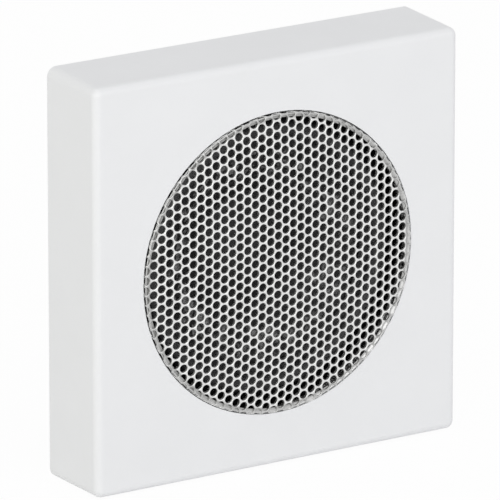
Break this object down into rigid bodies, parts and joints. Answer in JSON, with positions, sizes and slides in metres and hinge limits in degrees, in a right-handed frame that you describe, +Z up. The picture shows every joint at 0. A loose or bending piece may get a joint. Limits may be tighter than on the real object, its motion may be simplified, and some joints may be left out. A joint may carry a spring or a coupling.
{
  "type": "flush-mount loudspeaker module",
  "caption": "Square white flush-mount loudspeaker module with a domed perforated steel grille, a moving-coil driver, a snap-in carrier and push-in terminals.",
  "frame": {"origin": "centre of the cover's rear rim, on the plane that lies against the panel", "axes": "+X to the right seen from the front, +Y into the wall, +Z up"},
  "size_m": [0.055, 0.0231, 0.055],
  "materials": {
    "cover_plastic": "satin white moulded plastic",
    "grille_steel": "bare perforated steel sheet, bright",
    "foam": "closed-cell foam, matt",
    "basket_steel": "black painted pressed steel",
    "surround_rubber": "black rubber, slight sheen",
    "spider_cloth": "resin-treated cloth",
    "plated_steel": "zinc plated steel",
    "ferrite": "ground ferrite, dark grey",
    "board_phenolic": "brown phenolic paper board",
    "tinned_brass": "tinned brass",
    "rivet_brass": "bare brass",
    "tinsel_copper": "braided tinsel wire",
    "carrier_plastic": "natural white moulded plastic, matt",
    "screw_steel": "zinc plated steel",
    "terminal_plastic": "grey moulded plastic",
    "spring_steel": "stainless spring steel",
    "lead_red": "soft cable sheath",
    "lead_black": "soft cable sheath",
    "cone_paper": "dyed pressed paper",
    "cap_paper": "dyed pressed paper",
    "former_film": "brown polymer film",
    "coil_copper": "enamelled copper wire"
  },
  "bodies": {
    "module": {"cover": "cover_plastic", "grille": "grille_steel", "gasket": "foam", "basket": "basket_steel", "surround": "surround_rubber", "spider": "spider_cloth", "top_plate": "plated_steel", "magnet": "ferrite", "yoke": "plated_steel", "tag_board": "board_phenolic", "solder_tag_positive": "tinned_brass", "solder_tag_negative": "tinned_brass", "tag_rivet_positive": "rivet_brass", "tag_rivet_negative": "rivet_brass", "tinsel_positive": "tinsel_copper", "tinsel_negative": "tinsel_copper", "carrier": "carrier_plastic", "fixing_screw_1": "screw_steel", "fixing_screw_2": "screw_steel", "fixing_screw_3": "screw_steel", "fixing_screw_4": "screw_steel", "terminal_block": "terminal_plastic", "terminal_contact_positive": "tinned_brass", "terminal_contact_negative": "tinned_brass", "terminal_spring_positive": "spring_steel", "terminal_spring_negative": "spring_steel", "lead_positive": "lead_red", "lead_negative": "lead_black"},
    "diaphragm": {"cone": "cone_paper", "dust_cap": "cap_paper", "coil_former": "former_film", "voice_coil": "coil_copper"}
  },
  "joints": [
    {"name": "cone_travel", "type": "slide", "parent": "module", "child": "diaphragm", "axis": [0, 1, 0], "range_m": [-0.001, 0.001], "stiffness_N_per_m": 1500, "deforming": ["surround", "spider", "tinsel_positive", "tinsel_negative"]}
  ]
}
